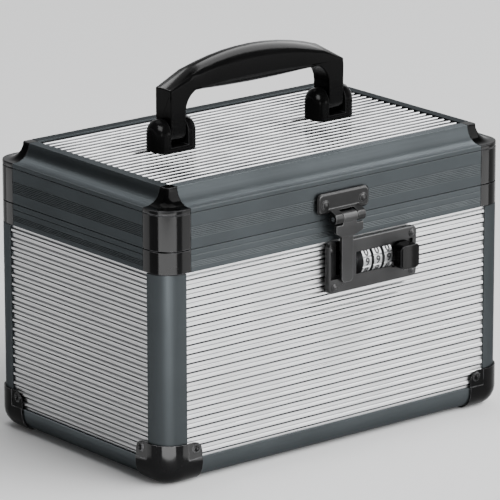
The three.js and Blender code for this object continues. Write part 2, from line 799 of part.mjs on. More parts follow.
// Hasp strike: a bevelled plate with two rivets, whose fold carries two knuckles
const strikeLow = lidLow + strikeBottom;
const strikeTop = strikeLow + strikeHeight;
const haspZ = split + barrelRise;
const haspY = outward(barrelStandoff);
const strikeBack = seat;
const strikeFront = strikeBack + strikeThickness;

function strike() {
  const half = strikeWidth / 2;
  const [left, right] = [haspCentre - half, haspCentre + half];
  const shape = outline(rounded(left, strikeLow, right, strikeTop, strikeCorner, 3));
  const plate = alongY(shape, outward(strikeFront), outward(strikeBack), strikeBevel - 0.1, 1);
  const foldTop = strikeLow + foldHeight;
  const lean = [
    [outward(strikeFront - 1), foldTop],
    [outward(strikeFront), foldTop],
    [outward(barrelStandoff + barrelRadius - 0.6), haspZ + barrelRadius - 0.5],
    [outward(barrelStandoff), haspZ],
    [outward(barrelStandoff - 1.2), haspZ + barrelRadius - 0.3],
    [outward(strikeFront - 1), strikeLow + 1.2],
  ];
  const halfBarrel = barrelLength / 2;
  const ramp = alongX(outline(lean), haspCentre - halfBarrel, haspCentre + halfBarrel);
  const barrel = rodX(barrelRadius, haspCentre - halfBarrel, haspCentre + halfBarrel, haspY, haspZ);
  const room = knuckleWidth / 2 + seat;
  const gap = rodX(barrelRadius + seat, haspCentre - room, haspCentre + room, haspY, haspZ);
  const [eyeLow, eyeHigh] = [haspZ - 4, haspZ + barrelRadius + 1];
  const eye = box(haspCentre - room, haspCentre + room, outward(12), outward(1.5), eyeLow, eyeHigh);
  const bore = rodX(haspPinRadius + seat, haspCentre - 20, haspCentre + 20, haspY, haspZ, 12);
  const rivetX = half - 4.6;
  const rivetZ = strikeLow + 4.9;
  const heads = [-1, 1].map((way) =>
    rivetHead(haspCentre + way * rivetX, outward(strikeFront), rivetZ, haspRivetRadius),
  );
  return join(cut(join(plate, ramp, barrel), gap, eye, bore), ...heads);
}

place("hasp_strike", strike(), darkZinc, frontWall);
const halfHaspPin = barrelLength / 2;
const haspPin = rodX(haspPinRadius, haspCentre - halfHaspPin, haspCentre + halfHaspPin, haspY, haspZ, 12);
place("hasp_pin", haspPin, steel, frontWall);

// Hasp leaf: central knuckle, wide shoulders, a narrow tongue and the eye that the bolt enters
const leafBack = plateFront + seat;
const leafFront = leafBack + leafThickness;
const eyeZ = plateTop - 0.4 - eyeHeight / 2;
const boltZ = eyeZ;
const boltBack = seat;
const boltFront = boltBack + boltThickness;
const boltPlay = boltHeight / 2 + seat;

function hasp() {
  const half = leafWidth / 2;
  const slim = leafNarrow / 2;
  const top = haspZ - barrelRadius - 0.5;
  const waist = top - leafShoulder;
  const tip = waist - leafTip;
  const rightSide = [
    [slim - 1.5, tip],
    [slim, tip + 1.5],
    [slim, waist],
    [half, top - 4],
    [half, top],
  ];
  const leftSide = rightSide.map(([x, z]) => [-x, z]).reverse();
  const face = [...leftSide, ...rightSide].map(([x, z]) => [x + haspCentre, z]);
  const outer = barrelStandoff + 1.9;
  const inner = outer - leafThickness - 0.3;
  const bend = [
    [outward(outer), haspZ],
    [outward(outer), top - 4.5],
    [outward(leafFront), waist - 0.5],
    [outward(leafFront), tip - 1],
    [outward(leafBack), tip - 1],
    [outward(leafBack), waist],
    [outward(inner), top - 4],
    [outward(inner), haspZ],
  ];
  const room = knuckleWidth / 2;
  const whole = alongX(outline(bend), haspCentre - half, haspCentre + half);
  const blade = whole.intersect(alongY(outline(face), outward(20), outward(-5)));
  const neckBlock = box(haspCentre - room, haspCentre + room, outward(20), outward(0), top - 1, haspZ);
  const neck = whole.intersect(neckBlock);
  const knuckle = rodX(barrelRadius, haspCentre - room, haspCentre + room, haspY, haspZ);
  const bore = rodX(haspPinRadius + seat, haspCentre - 20, haspCentre + 20, haspY, haspZ, 12);
  const [lugLeft, lugRight] = [haspCentre - eyeWidth / 2, haspCentre + eyeWidth / 2];
  const [eyeLow, eyeHigh] = [eyeZ - eyeHeight / 2, eyeZ + eyeHeight / 2];
  const lug = lockBlock(lugLeft, lugRight, seat, leafBack + 0.5, eyeLow, eyeHigh);
  const holeBack = boltFront - tongueThickness - seat;
  const [holeLow, holeHigh] = [boltZ - boltPlay, boltZ + boltPlay];
  const hole = lockBlock(lugLeft - 4, lugRight + 4, holeBack, boltFront + seat, holeLow, holeHigh);
  return cut(join(blade, neck, knuckle, lug), bore, hole);
}

place("hasp_leaf", hasp(), darkZinc, frontWall);

// Lock bolt: a flat plate that runs over the dials to the hasp's eye and carries the knob
const boltTip = haspCentre + eyeWidth / 2 + 0.3;
const knobCentre = knobLeft + knobWidth / 2;
const neckLeft = knobCentre - knobNeckWidth / 2;
const neckRight = knobCentre + knobNeckWidth / 2;
const neckLow = dialAxisHeight - knobNeckHeight / 2;
const neckHigh = dialAxisHeight + knobNeckHeight / 2;

function bolt() {
  const [z0, z1] = [boltZ - boltHeight / 2, boltZ + boltHeight / 2];
  const bar = lockBlock(windowLeft - 0.2, neckRight, boltBack, boltFront, z0, z1);
  const tip = lockBlock(boltTip, windowLeft, boltFront - tongueThickness, boltFront, z0, z1);
  const stem = lockBlock(neckLeft, neckRight, boltBack, boltBack + stemThickness, neckLow, boltZ);
  return join(bar, tip, stem);
}

place("lock_bolt", bolt(), steel, frontWall);

// Lock plate: a die-cast escutcheon with the hasp pocket, the dial window and the knob recess
const pocketLeft = plateLeft + pocketBorder;
const pocketRight = haspCentre + leafNarrow / 2 + 0.4;
const pocketLow = plateBottom + pocketSill;
const recessFloor = plateFront - recessDepth;
const slotLeft = neckLeft - tongueTravel - seat;
const slotRight = neckRight + releaseTravel + seat;

function plateRivets() {
  const low = plateBottom + 3.2;
  const high = plateTop - 3.4;
  const right = plateRight - 3.3;
  const pocketFace = plateBack + pocketFloor;
  return [
    rivetHead(plateLeft + 3.6, outward(plateFront), low, plateRivetRadius),
    rivetHead(right, outward(plateFront), low, plateRivetRadius),
    rivetHead(right, outward(plateFront), high, plateRivetRadius),
    rivetHead(pocketLeft + 2.4, outward(pocketFace), high - 1.2, plateRivetRadius),
  ];
}

function lockPlate() {
  const shape = outline(rounded(plateLeft, plateBottom, plateRight, plateTop, plateCorner, 4));
  const slab = alongY(shape, outward(plateFront), outward(plateBack), plateBevel, 1);
  const pocket = lockBlock(pocketLeft, pocketRight, plateBack + pocketFloor, 20, pocketLow, plateTop + 5);
  const eyeLeft = haspCentre - leafNarrow / 2 + 0.4;
  const eyeRoom = lockBlock(eyeLeft, pocketRight, -5, 20, pocketLow + 1, plateTop + 5);
  const windowRadius = dialRadius + dialGap;
  const window = rodX(windowRadius, windowLeft, windowRight, outward(dialAxisOut), dialAxisHeight, 40);
  const [z0, z1] = [boltZ - boltPlay, boltZ + boltPlay];
  const tongueBack = boltFront - tongueThickness - seat;
  const tongueRun = lockBlock(pocketRight - 1, windowLeft - 0.5, tongueBack, boltFront + seat, z0, z1);
  const barLeft = windowLeft - 0.2 - tongueTravel - seat;
  const barRun = lockBlock(barLeft, slotRight, -5, boltFront + seat, z0, z1);
  const stemFront = boltBack + stemThickness + seat;
  const stemRun = lockBlock(slotLeft, slotRight, -5, stemFront, neckLow - seat, boltZ);
  const slot = lockBlock(slotLeft, slotRight, -5, 20, neckLow - seat, neckHigh + seat);
  const recessRight = knobLeft + knobWidth + releaseTravel + seat;
  const recessLow = dialAxisHeight - knobHeight / 2 - 0.4;
  const recessHigh = dialAxisHeight + knobHeight / 2 + 0.4;
  const recess = lockBlock(windowRight - 0.2, recessRight, recessFloor, 20, recessLow, recessHigh);
  const body = cut(slab, pocket, eyeRoom, window, tongueRun, barRun, stemRun, slot, recess);
  return join(body, ...plateRivets());
}

place("lock_plate", lockPlate(), darkZinc, frontWall);

// Lock housing behind the wall, open to the dials, with the fixed spindle and the click springs
const roomLeft = housingLeft + housingWall;
const roomRight = housingRight - housingWall;
const roomLow = housingLow + housingWall;
const roomHigh = housingHigh - housingWall;
const roomBack = housingBack + housingWall;
const spindleSeat = housingWall / 3;

function housing() {
  const mouth = plateBack - seat;
  const shell = lockBlock(housingLeft, housingRight, housingBack, mouth, housingLow, housingHigh);
  const room = lockBlock(roomLeft, roomRight, roomBack, 5, roomLow, roomHigh);
  const [x0, x1] = [housingLeft + spindleSeat, housingRight - spindleSeat];
  const bore = rodX(spindleRadius + seat, x0, x1, outward(dialAxisOut), dialAxisHeight, 16);
  return cut(shell, room, bore);
}

place("lock_housing", housing(), blackSteel, frontWall);
const spindleEnd = spindleSeat + seat;
const [spindleLeft, spindleRight] = [housingLeft + spindleEnd, housingRight - spindleEnd];
const spindle = rodX(spindleRadius, spindleLeft, spindleRight, outward(dialAxisOut), dialAxisHeight, 16);
place("dial_spindle", spindle, steel, frontWall);

// Dials: ten flats parted by grooves, with a hub on the spindle and a hollow side
function dial(centre) {
  const share = 360 / numerals;
  const rim = Array.from({ length: numerals }, (_, i) => {
    const start = (i - 0.5) * share;
    const notch = arc(0, 0, dialRadius - dialNotch, start, start, 1).slice(1);
    return [...notch, ...arc(0, 0, dialRadius, start + share / 12, start + (share * 11) / 12, 3)];
  }).flat();
  const wheel = alongX(outline(rim), centre - dialWidth / 2, centre + dialWidth / 2);
  const bore = rodX(spindleRadius + 0.3, centre - 5, centre + 5, 0, 0, 16);
  const side = rodX(dialRadius - 2.6, centre - dialWidth / 2 + 1.6, centre + 5, 0, 0, 20);
  return cut(wheel, bore, side);
}

dialCentres.forEach((centre, i) => {
  const frame = { y: outward(dialAxisOut) - halfDepth, z: dialAxisHeight };
  place("dial_" + (i + 1), dial(centre), chrome, frame);
});

// Click springs: one comb with a finger for each dial, fixed to the back of the housing
const combBack = roomBack + seat;
const combFront = combBack + combThickness;

function detentComb() {
  const fingers = dialCentres.map((centre) =>
    lockBlock(centre - 1.5, centre + 1.5, combBack, combFront, roomLow + 1.2, dialAxisHeight + 3),
  );
  const [first, last] = [dialCentres[0] - 2.4, dialCentres[2] + 2.4];
  return join(lockBlock(first, last, combBack, combFront, roomLow + 0.6, roomLow + 3), ...fingers);
}

place("detent_comb", detentComb(), steel, frontWall);

// Slider knob: a broad convex cap that overhangs the last dial, a block that slides in the
// recess and a neck that is fixed to the bolt
function knob() {
  const half = knobHeight / 2;
  const knobRight = knobLeft + knobWidth;
  const underside = knobFront - knobHead;
  const crown = arc(0, 0, 1, 180, 0, 6).map(([p, q]) => [
    knobCentre + (p * knobWidth) / 2,
    outward(knobFront - knobCrown * (1 - q)),
  ]);
  const cap = outline([[knobRight, outward(underside)], [knobLeft, outward(underside)], ...crown]);
  const head = alongZ(cap, dialAxisHeight - half, dialAxisHeight + half);
  const low = dialAxisHeight - half;
  const face = outline(rounded(knobLeft, low, knobRight, low + knobHeight, knobCorner, 4));
  const blockLeft = windowRight + tongueTravel + seat;
  const block = outline(rounded(blockLeft, low, knobRight, low + knobHeight, knobCorner, 4));
  const foot = alongY(block, outward(underside + 1), outward(recessFloor + 2 * seat));
  const neckBack = boltBack + stemThickness + seat;
  const neck = lockBlock(neckLeft, neckRight, neckBack, underside, neckLow, neckHigh);
  return join(head.intersect(alongY(face, outward(20), outward(0))), foot, neck);
}

place("slider_knob", knob(), blackSteel, frontWall);

// Rear hinges: two butt hinges, each with a case leaf, a lid leaf and a pin
const hingeOut = seat + hingeBarrel;
const hingeZ = split + lidGap / 2;

function hingeHalf(centre, up) {
  const way = up ? 1 : -1;
  const near = hingeZ + way * (hingeBarrel + 0.4);
  const far = near + way * (up ? lidLeafHeight : caseLeafHeight - 1.5);
  const [z0, z1] = [Math.min(near, far), Math.max(near, far)];
  const half = hingeLength / 2;
  const face = outline(rounded(centre - half, z0, centre + half, z1, 1.6, 3));
  const leaf = alongY(face, seat, seat + hingeLeaf);
  const middle = [[-hingeKnuckle / 2, hingeKnuckle / 2]];
  const outer = [[-half, -hingeKnuckle / 2 - seat], [hingeKnuckle / 2 + seat, half]];
  const knuckles = up ? middle : outer;
  const barrels = knuckles.flatMap(([x0, x1]) => {
    const barrel = rodX(hingeBarrel, centre + x0, centre + x1, hingeOut, hingeZ, 16);
    const [webLow, webHigh] = [hingeZ, near + way * 0.5].sort((p, q) => p - q);
    return [barrel, box(centre + x0, centre + x1, seat, seat + hingeLeaf, webLow, webHigh)];
  });
  const bore = rodX(hingePin + seat, centre - half - 1, centre + half + 1, hingeOut, hingeZ, 12);
  return cut(join(leaf, ...barrels), bore);
}

const hinges = [
  { name: "left", centre: hingeInset - halfWidth },
  { name: "right", centre: halfWidth - hingeInset },
];
for (const { name, centre } of hinges) {
  const pin = rodX(hingePin, centre - hingeLength / 2, centre + hingeLength / 2, hingeOut, hingeZ, 12);
  place("hinge_case_leaf_" + name, hingeHalf(centre, false), darkZinc, backWall);
  place("hinge_lid_leaf_" + name, hingeHalf(centre, true), darkZinc, backWall);
  place("hinge_pin_" + name, pin, steel, backWall);
}

// The origin lies on the ground under the middle of the whole box
const bounds = new THREE.Box3().setFromObject(lockBox, true);
const middle = bounds.getCenter(new THREE.Vector3());
lockBox.position.set(-middle.x, -middle.y, -bounds.min.z);

export default group;
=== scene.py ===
"""Looks of the medication lock box: a ribbed aluminium case with slate extrusions, black
corners, a folding bail handle, a hasp and a three-dial combination lock. Metres, +Z up."""

import math

import bmesh
import bpy
from mathutils import Matrix, Vector


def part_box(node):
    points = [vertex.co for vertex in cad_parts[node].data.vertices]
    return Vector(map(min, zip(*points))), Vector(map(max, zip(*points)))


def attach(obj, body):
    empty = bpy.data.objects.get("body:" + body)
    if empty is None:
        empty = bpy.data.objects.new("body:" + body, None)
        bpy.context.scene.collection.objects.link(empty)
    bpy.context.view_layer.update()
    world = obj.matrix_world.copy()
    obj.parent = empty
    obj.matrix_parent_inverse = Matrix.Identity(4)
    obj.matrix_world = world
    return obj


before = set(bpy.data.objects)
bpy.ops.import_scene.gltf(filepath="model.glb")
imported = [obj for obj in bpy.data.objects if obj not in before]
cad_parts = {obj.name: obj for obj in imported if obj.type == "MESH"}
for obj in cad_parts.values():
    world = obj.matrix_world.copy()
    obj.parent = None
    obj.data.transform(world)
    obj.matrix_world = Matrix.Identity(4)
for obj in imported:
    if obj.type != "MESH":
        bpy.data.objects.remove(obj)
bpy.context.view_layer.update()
mm = 0.001

# Camera
# The box is seen from a little above, over its front left corner, through a long lens.
# Its place, turn and lens are worked out from the lines of the box in the photograph.
azimuth = math.radians(-39.043)
elevation = math.radians(15.99)
roll = math.radians(-0.098)
across = Vector((math.cos(azimuth), math.sin(azimuth), 0))
backward = Vector((
    math.sin(azimuth) * math.cos(elevation),
    -math.cos(azimuth) * math.cos(elevation),
    math.sin(elevation),
))
upward = backward.cross(across)
camera_lens = bpy.data.cameras.new("camera")
camera_lens.lens = 329.1
camera_lens.sensor_width = 36
camera_lens.clip_start = 0.1
camera_lens.clip_end = 30
camera = bpy.data.objects.new("camera", camera_lens)
camera.matrix_world = Matrix((
    math.cos(roll) * across + math.sin(roll) * upward,
    math.cos(roll) * upward - math.sin(roll) * across,
    backward,
)).transposed().to_4x4()
camera.location = (-1.40173, -1.72383, 0.72393)
bpy.context.collection.objects.link(camera)
bpy.context.scene.camera = camera

# Studio
# A pale floor that runs out of sight, under a sky that is brighter on the right, and soft
# boxes. Most of these are flagged off, so that each gleams only in the pieces it is set for.


def wire(tree, kind, sockets=(), **settings):
    """Adds a shader node with its settings, and sets or links its sockets by name."""
    node = tree.nodes.new("ShaderNode" + kind)
    for setting, value in settings.items():
        setattr(node, setting, value)
    for socket, value in dict(sockets).items():
        if isinstance(value, bpy.types.NodeSocket):
            tree.links.new(value, node.inputs[socket])
        else:
            node.inputs[socket].default_value = value
    return node


def work_out(tree, operation, *values):
    return wire(tree, "Math", dict(enumerate(values)), operation=operation).outputs["Value"]


def between(tree, value, low, high, start=0.3, stop=0.7):
    """Runs from low to high while the value runs from start to stop."""
    spread = {"Value": value, "From Min": start, "From Max": stop, "To Min": low, "To Max": high}
    return wire(tree, "MapRange", spread).outputs["Result"]


def soft_box(name, place, aim, size, power, pieces=(), spared=()):
    """A soft box aimed at a place. It lights the named pieces alone, or all but the spared."""
    light = bpy.data.lights.new(name, "AREA")
    light.shape = "RECTANGLE"
    light.size, light.size_y = size
    light.energy = power
    lamp = bpy.data.objects.new(name, light)
    lamp.location = place
    lamp.visible_camera = False
    lamp.rotation_euler = (Vector(aim) - Vector(place)).to_track_quat("-Z", "Y").to_euler()
    bpy.context.collection.objects.link(lamp)
    if pieces or spared:
        linked = bpy.data.collections.new(name + "_pieces")
        for piece in [*pieces, *spared]:
            linked.objects.link(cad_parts[piece])
        for entry in linked.collection_objects:
            entry.light_linking.link_state = "EXCLUDE" if spared else "INCLUDE"
        lamp.light_linking.receiver_collection = linked
        lamp.light_linking.blocker_collection = linked if spared else None


sides = ["front", "right", "back", "left"]
ends = ["front_left", "front_right", "back_right", "back_left"]
posts = ["corner_post_" + end for end in ends]
lid_rails = ["lid_rail_" + side for side in sides]
rim_blocks = ["rim_corner_" + end for end in ends]
lid_castings = ["lid_corner_" + end for end in ends]
guards = ["corner_guard_" + end for end in ends]
black_corners = rim_blocks + lid_castings + guards
brackets = ["handle_bracket_left", "handle_bracket_right"]
lock_face = ["hasp_strike", "hasp_leaf", "lock_plate"]

# The whole box: a broad box in front on the right, one overhead and two low fills
box_middle = (0, 0, 0.1)
broad_place, broad_size = (1.7, -3.0, 2.2), (6, 4.4)
flagged_off = ["handle_grip", "lid_rail_front"] + brackets + posts
soft_box("broad_box", broad_place, (0, 0, 0.08), broad_size, power=460, spared=flagged_off)
soft_box("overhead_box", (0.4, 0.9, 2.6), box_middle, (2.2, 1.6), power=22, spared=lid_rails)
soft_box("low_corner_box", (-1.15, -1.42, 0.16), box_middle, (0.4, 0.28), power=5)
soft_box("low_front_box", (0.75, -1.5, 0.2), box_middle, (0.3, 0.4), power=3)

# The slate extrusions: a soft band down each post, low in each cove and along the left rail
front_rail, left_rail, left_foot = ["lid_rail_front"], ["lid_rail_left"], ["bottom_rail_left"]
post_aim = (-0.11, -0.07, 0.09)
soft_box("post_strip", (-0.34, -0.355, 0.09), post_aim, (0.2, 0.2), power=1.3, pieces=posts)
soft_box("front_rail_box", broad_place, (0, 0, 0.12), broad_size, power=270, pieces=front_rail)
cove_aim = (0, -0.07, 0.14)
soft_box("cove_front_box", (0.62, 0.38, 0.8), cove_aim, (0.8, 0.4), power=14, pieces=front_rail)
cove_aim = (-0.1, 0, 0.14)
soft_box("cove_left_box", (0.08, 0.75, 0.78), cove_aim, (0.8, 0.3), power=4.5, pieces=left_rail)
foot_aim = (-0.11, 0, 0.006)
soft_box("foot_strip", (-0.4, 0.36, 0.03), foot_aim, (0.3, 0.06), power=1.6, pieces=left_foot)

# The black corners: a grey band down the middle of each, and one on each flat beside it
band_aim, band_size = (-0.11, -0.07, 0.045), (0.4, 0.07)
soft_box("corner_box", (-0.24, -0.22, 0.045), band_aim, band_size, 2.3, black_corners)
flat_size = (0.1, 0.07)
for name, place, aim, power in [
    ("corner_left_box", (-0.24, 0.12, 0.05), (-0.112, -0.045, 0.11), 0.08),
    ("corner_back_box", (-0.23, 0.23, 0.05), (-0.112, 0.062, 0.11), 0.11),
    ("corner_front_box", (0.03, -0.22, 0.055), (-0.09, -0.07, 0.11), 0.19),
    ("corner_right_box", (0.225, -0.22, 0.055), (0.1, -0.07, 0.11), 0.3),
]:
    soft_box(name, place, aim, flat_size, power, black_corners)

# The corner guards alone: a gleam low on the nose, and one low on either side of it
for name, place, aim, size, power in [
    ("guard_nose_strip", (-0.13, -0.091, 0.007), (-0.108, -0.064, 0.014), (0.05, 0.011), 0.075),
    ("guard_left_strip", (-0.134, -0.024, 0.006), (-0.112, -0.05, 0.014), (0.03, 0.01), 0.004),
    ("guard_right_strip", (-0.074, -0.094, 0.006), (-0.095, -0.067, 0.014), (0.03, 0.01), 0.012),
]:
    soft_box(name, place, aim, size, power, guards)

# The handle: a sheen over its crown, along its shoulders and on the domes of its brackets
grip = ["handle_grip"]
crown_aim, shoulder_aim, dome_aim = (0, 0, 0.18), (-0.06, 0, 0.18), (0, 0, 0.155)
soft_box("handle_back_box", (0.73, 0.52, 0.85), (0, 0, 0.17), (0.5, 1.3), 4, grip + brackets)
soft_box("handle_side_box", (0.61, -0.04, 0.98), crown_aim, (1.15, 1.0), power=58, pieces=grip)
soft_box("shoulder_box", (-0.2, 0.72, 0.78), shoulder_aim, (0.6, 0.5), power=14, pieces=grip)
soft_box("saddle_box", (-0.38, -0.24, 0.6), dome_aim, (0.45, 0.4), power=13, pieces=brackets)

# The lock: a sheen down its face and another on the knob
lock_aim, knob_aim, knob = (0.04, -0.08, 0.11), (0.036, -0.075, 0.094), ["slider_knob"]
soft_box("lock_strip", (0.77, -0.41, 1), lock_aim, (0.9, 0.3), power=9, pieces=lock_face)
soft_box("knob_box", (0.1, -0.26, 0.09), knob_aim, (0.16, 0.14), power=0.7, pieces=knob)

# The sky is brighter towards the right and dimmer high up
bright_side = (0.85, 0.2, 0.48)
sky = bpy.data.worlds.new("sky")
sky.use_nodes = True
air = sky.node_tree
direction = wire(air, "TexCoord").outputs["Generated"]
sideways = wire(air, "VectorMath", {0: direction, 1: bright_side}, operation="DOT_PRODUCT")
brightness = between(air, sideways.outputs["Value"], 0.12, 1.1, start=-0.3, stop=0.9)
height = wire(air, "SeparateXYZ", {"Vector": direction}).outputs["Z"]
overhead = between(air, height, 1, 0.25, start=0.4, stop=0.7)
backdrop = air.nodes["Background"]
air.links.new(work_out(air, "MULTIPLY", brightness, overhead), backdrop.inputs["Strength"])
backdrop.inputs["Color"].default_value = (0.98, 0.99, 1, 1)
bpy.context.scene.world = sky

floor_mesh = bpy.data.meshes.new("floor")
floor_shape = bmesh.new()
bmesh.ops.create_grid(floor_shape, x_segments=8, y_segments=8, size=8)
floor_shape.to_mesh(floor_mesh)
floor = bpy.data.objects.new("floor", floor_mesh)
bpy.context.collection.objects.link(floor)
floor_paint = bpy.data.materials.new("pale_floor")
floor_paint.use_nodes = True
paint_nodes = floor_paint.node_tree
mottle = wire(paint_nodes, "TexNoise", {"Scale": 3, "Detail": 3}).outputs["Fac"]
paleness = between(paint_nodes, mottle, 0.9, 0.93, start=0, stop=1)
floor_shader = paint_nodes.nodes["Principled BSDF"]
paint_nodes.links.new(paleness, floor_shader.inputs["Base Color"])
floor_shader.inputs["Roughness"].default_value = 0.7
floor_mesh.materials.append(floor_paint)

# Ribbed wall panels and lid panel
# Bright rolled aluminium sheet, with half-round beads along it, glued to thin board. Each
# panel is slid into the channels of the extrusions. Across each bead the colour carries painted
# shadow below it, a painted highlight on its upper flank and painted shade at its upper root;
# the side panels are painted darker as shade, and the front sheet is painted black as shade
# behind the lock plate.
bead_pitch = 4.7 * mm
wall_bead_height = 15.35 * mm
lid_bead_place = 6.05 * mm
bead_wobble = 0.05 * mm
# A painted highlight along the upper flank of each bead
painted_highlight_sheet = (0.97, 0.975, 0.98, 1)
clean_sheet = (0.8, 0.802, 0.81, 1)
worn_sheet = (0.4, 0.405, 0.41, 1)
# Painted shade at the upper root of each bead
painted_shade_sheet = (0.2, 0.205, 0.21, 1)
# Painted shadow under each bead, which also darkens the side panels as painted shade
painted_shadow_sheet = (0.012, 0.013, 0.015, 1)
# Painted shade: black laid on the sheet where it lies in the dark gap behind the lock plate
painted_shade_behind_plate = (0.003, 0.003, 0.003, 1)


def finish(name, roughness, metallic=1.0, **plain):
    """A new material, its node tree and its shader, with the shader's plain values set."""
    material = bpy.data.materials.new(name)
    material.use_nodes = True
    shader = material.node_tree.nodes["Principled BSDF"]
    shader.inputs["Metallic"].default_value = metallic
    shader.inputs["Roughness"].default_value = roughness
    for socket, value in plain.items():
        shader.inputs[socket.replace("_", " ")].default_value = value
    return material, material.node_tree, shader


def grain(tree, fineness, detail=4):
    """Noise over the piece, with about this many grains to the metre: one number for every
    way, or one each along X, Y and Z."""
    stretch = fineness if isinstance(fineness, tuple) else (fineness, fineness, fineness)
    place = wire(tree, "TexCoord").outputs["Object"]
    spread = wire(tree, "Mapping", {"Vector": place, "Scale": stretch}).outputs["Vector"]
    noise = wire(tree, "TexNoise", {"Vector": spread, "Scale": 1, "Detail": detail})
    return noise.outputs["Fac"]


def tint(tree, value, stops):
    """A colour ramp of (place, colour) stops."""
    ramp = wire(tree, "ValToRGB", {"Fac": value})
    while len(ramp.color_ramp.elements) < len(stops):
        ramp.color_ramp.elements.new(0.5)
    for element, (place, colour) in zip(ramp.color_ramp.elements, stops):
        element.position, element.color = place, colour
    return ramp.outputs["Color"]


def mottled(tree, value, dark, pale, palest=0.7):
    """Dark in the hollows of a noise and pale on its heights."""
    return tint(tree, value, [(0.3, dark), (palest, pale)])


def blend_colours(tree, share, first, second):
    mixed = wire(tree, "Mix", {"Factor": share, 6: first, 7: second}, data_type="RGBA")
    return mixed.outputs[2]


def lay_on(tree, shader, colour, roughness):
    tree.links.new(colour, shader.inputs["Base Color"])
    tree.links.new(roughness, shader.inputs["Roughness"])


def relief(tree, shader, height, depth, strength):
    bump = wire(tree, "Bump", {"Height": height, "Distance": depth, "Strength": strength})
    tree.links.new(bump.outputs["Normal"], shader.inputs["Normal"])


def geometry_recipe(name):
    recipe = bpy.data.node_groups.new(name, "GeometryNodeTree")
    recipe.interface.new_socket("Geometry", in_out="INPUT", socket_type="NodeSocketGeometry")
    recipe.interface.new_socket("Geometry", in_out="OUTPUT", socket_type="NodeSocketGeometry")
    return recipe, recipe.nodes.new("NodeGroupInput"), recipe.nodes.new("NodeGroupOutput")


def facets_joined():
    """Joins the loose triangles of a solid into one skin."""
    weld_distance = 0.001 * mm
    recipe, start, end = geometry_recipe("facets_joined")
    plain = recipe.nodes.new("GeometryNodeRemoveAttribute")
    plain.inputs["Name"].default_value = "custom_normal"
    joined = recipe.nodes.new("GeometryNodeMergeByDistance")
    joined.inputs["Distance"].default_value = weld_distance
    recipe.links.new(start.outputs[0], plain.inputs["Geometry"])
    recipe.links.new(plain.outputs["Geometry"], joined.inputs["Geometry"])
    recipe.links.new(joined.outputs["Geometry"], end.inputs[0])
    return recipe


def rounds_smoothed(narrow_width, wide_width):
    """Marks the narrow faces, which are the broken edges, and shades every round as smooth up
    to the angle of a real corner. The mark fades out from the narrow to the wide width."""
    corner_angle = math.radians(38)
    recipe, start, end = geometry_recipe("rounds_smoothed")
    angle = recipe.nodes.new("GeometryNodeInputMeshEdgeAngle")
    tips = recipe.nodes.new("GeometryNodeInputMeshEdgeVertices")
    length = recipe.nodes.new("ShaderNodeVectorMath")
    length.operation = "DISTANCE"
    mean_length = recipe.nodes.new("GeometryNodeFieldOnDomain")
    mean_length.domain = "EDGE"
    area = recipe.nodes.new("GeometryNodeInputMeshFaceArea")
    breadth = recipe.nodes.new("ShaderNodeMath")
    breadth.operation = "DIVIDE"
    narrow = recipe.nodes.new("ShaderNodeMapRange")
    narrow.inputs["From Min"].default_value = narrow_width
    narrow.inputs["From Max"].default_value = wide_width
    narrow.inputs["To Min"].default_value = 1
    narrow.inputs["To Max"].default_value = 0
    noted = recipe.nodes.new("GeometryNodeStoreNamedAttribute")
    noted.domain = "FACE"
    noted.inputs["Name"].default_value = "broken_edge"
    rounded = recipe.nodes.new("GeometryNodeSetShadeSmooth")
    sharp = recipe.nodes.new("FunctionNodeCompare")
    sharp.operation = "GREATER_THAN"
    sharp.inputs["B"].default_value = corner_angle
    creased = recipe.nodes.new("GeometryNodeSetShadeSmooth")
    creased.domain = "EDGE"
    creased.inputs["Shade Smooth"].default_value = False
    for source, target in [
        (start.outputs[0], noted.inputs["Geometry"]),
        (tips.outputs["Position 1"], length.inputs[0]),
        (tips.outputs["Position 2"], length.inputs[1]),
        (length.outputs["Value"], mean_length.inputs[0]),
        (area.outputs["Area"], breadth.inputs[0]),
        (mean_length.outputs[0], breadth.inputs[1]),
        (breadth.outputs[0], narrow.inputs["Value"]),
        (narrow.outputs["Result"], noted.inputs["Value"]),
        (noted.outputs["Geometry"], rounded.inputs["Geometry"]),
        (rounded.outputs["Geometry"], creased.inputs["Geometry"]),
        (angle.outputs["Unsigned Angle"], sharp.inputs["A"]),
        (sharp.outputs["Result"], creased.inputs["Selection"]),
        (creased.outputs["Geometry"], end.inputs[0]),
    ]:
        recipe.links.new(source, target)
    return recipe


join_facets = facets_joined()
smooth_rounds = rounds_smoothed(0.4 * mm, 0.6 * mm)
# No face is narrower than nothing, so this one leaves every face unmarked
smooth_without_marks = rounds_smoothed(-2 * mm, -1 * mm)


def dress(names, material, edge=0.25, steps=2, limit=40, merge=0.6):
    """Gives solids their finish, breaks their sharp edges and smooths their rounds. The edge
    is its width in mm, in so many steps, and the limit is the least angle that is broken.
    Facets that differ by less than the merge angle become one face first."""
    for name in names:
        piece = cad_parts[name]
        for slot in piece.material_slots:
            slot.link = "OBJECT"
            slot.material = material
        piece.modifiers.new("facets_joined", "NODES").node_group = join_facets
        if merge:
            flats = piece.modifiers.new("flats", "DECIMATE")
            flats.decimate_type = "DISSOLVE"
            flats.angle_limit = math.radians(merge)
        if edge:
            broken = piece.modifiers.new("broken_edges", "BEVEL")
            broken.width = edge * mm
            broken.segments = steps
            broken.angle_limit = math.radians(limit)
            broken.use_clamp_overlap = False
            broken.miter_outer = "MITER_ARC"
        rounds = piece.modifiers.new("rounds_smoothed", "NODES")
        rounds.node_group = smooth_rounds if merge else smooth_without_marks
        shading = piece.modifiers.new("flat_faces", "WEIGHTED_NORMAL")
        shading.keep_sharp = True


